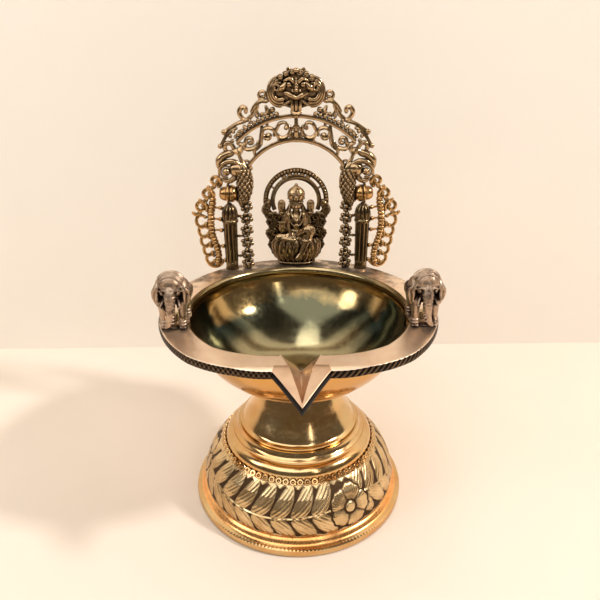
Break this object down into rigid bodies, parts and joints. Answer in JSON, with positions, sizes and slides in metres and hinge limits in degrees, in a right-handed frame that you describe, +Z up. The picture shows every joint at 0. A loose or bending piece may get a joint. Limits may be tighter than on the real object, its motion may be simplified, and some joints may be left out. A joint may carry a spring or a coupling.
{
  "type": "standing oil lamp",
  "caption": "Standing brass oil lamp: hollow bell foot, cone stem, bowl with flat rim and one wick spout, pierced arch with a seated figure; the bowl unscrews from the foot.",
  "frame": {"origin": "centre of the ring that the foot stands on", "axes": "+Z up along the axis of foot and bowl, the wick spout points along -Y, the arch stands at +Y"},
  "size_m": [0.115, 0.1202, 0.1805],
  "materials": {
    "foot_brass": "polished, darkened in the chased band",
    "bowl_brass": "satin rim, polished oil-stained well",
    "antique_brass": "dark antique cast with rubbed high spots",
    "elephant_brass": "dark antique cast, worn matt foreheads",
    "fixing_brass": "plain turned"
  },
  "bodies": {
    "foot": {"foot_bell": "foot_brass", "stem_cone": "foot_brass", "captive_nut": "fixing_brass"},
    "washer": {"seat_washer": "fixing_brass"},
    "bowl": {"stem_stud": "fixing_brass", "bowl_shell": "bowl_brass", "pillar_rivet_left": "fixing_brass", "pillar_rivet_right": "fixing_brass", "seat_rivet": "fixing_brass", "elephant_rivet_left": "fixing_brass", "elephant_rivet_right": "fixing_brass", "lower_hoop": "antique_brass", "upper_hoop": "antique_brass", "hoop_scrollwork": "antique_brass", "bead_row": "antique_brass", "lion_crest": "antique_brass", "crest_tongue": "antique_brass", "lotus_seat": "antique_brass", "halo": "antique_brass", "seated_figure": "antique_brass", "pillar_left": "antique_brass", "bell_ball_left": "antique_brass", "makara_left": "antique_brass", "scroll_fringe_left": "antique_brass", "tail_curls_left": "antique_brass", "ribbed_tail_left": "antique_brass", "garland_left": "antique_brass", "seat_scroll_left": "antique_brass", "elephant_left": "elephant_brass", "pillar_right": "antique_brass", "bell_ball_right": "antique_brass", "makara_right": "antique_brass", "scroll_fringe_right": "antique_brass", "tail_curls_right": "antique_brass", "ribbed_tail_right": "antique_brass", "garland_right": "antique_brass", "seat_scroll_right": "antique_brass", "elephant_right": "elephant_brass"}
  },
  "joints": [
    {"name": "bowl_rise", "type": "slide", "parent": "foot", "child": "washer", "axis": [0, 0, 1], "range_m": [0, 0.00751]},
    {"name": "bowl_turn", "type": "hinge", "parent": "washer", "child": "bowl", "pos_m": [0, 0, 0.055], "axis": [0, 0, 1], "range_deg": [0, 2160]}
  ],
  "couplings": [
    {"joint": "bowl_rise", "follows": "bowl_turn", "m_per_rad": 0.00019894}
  ]
}
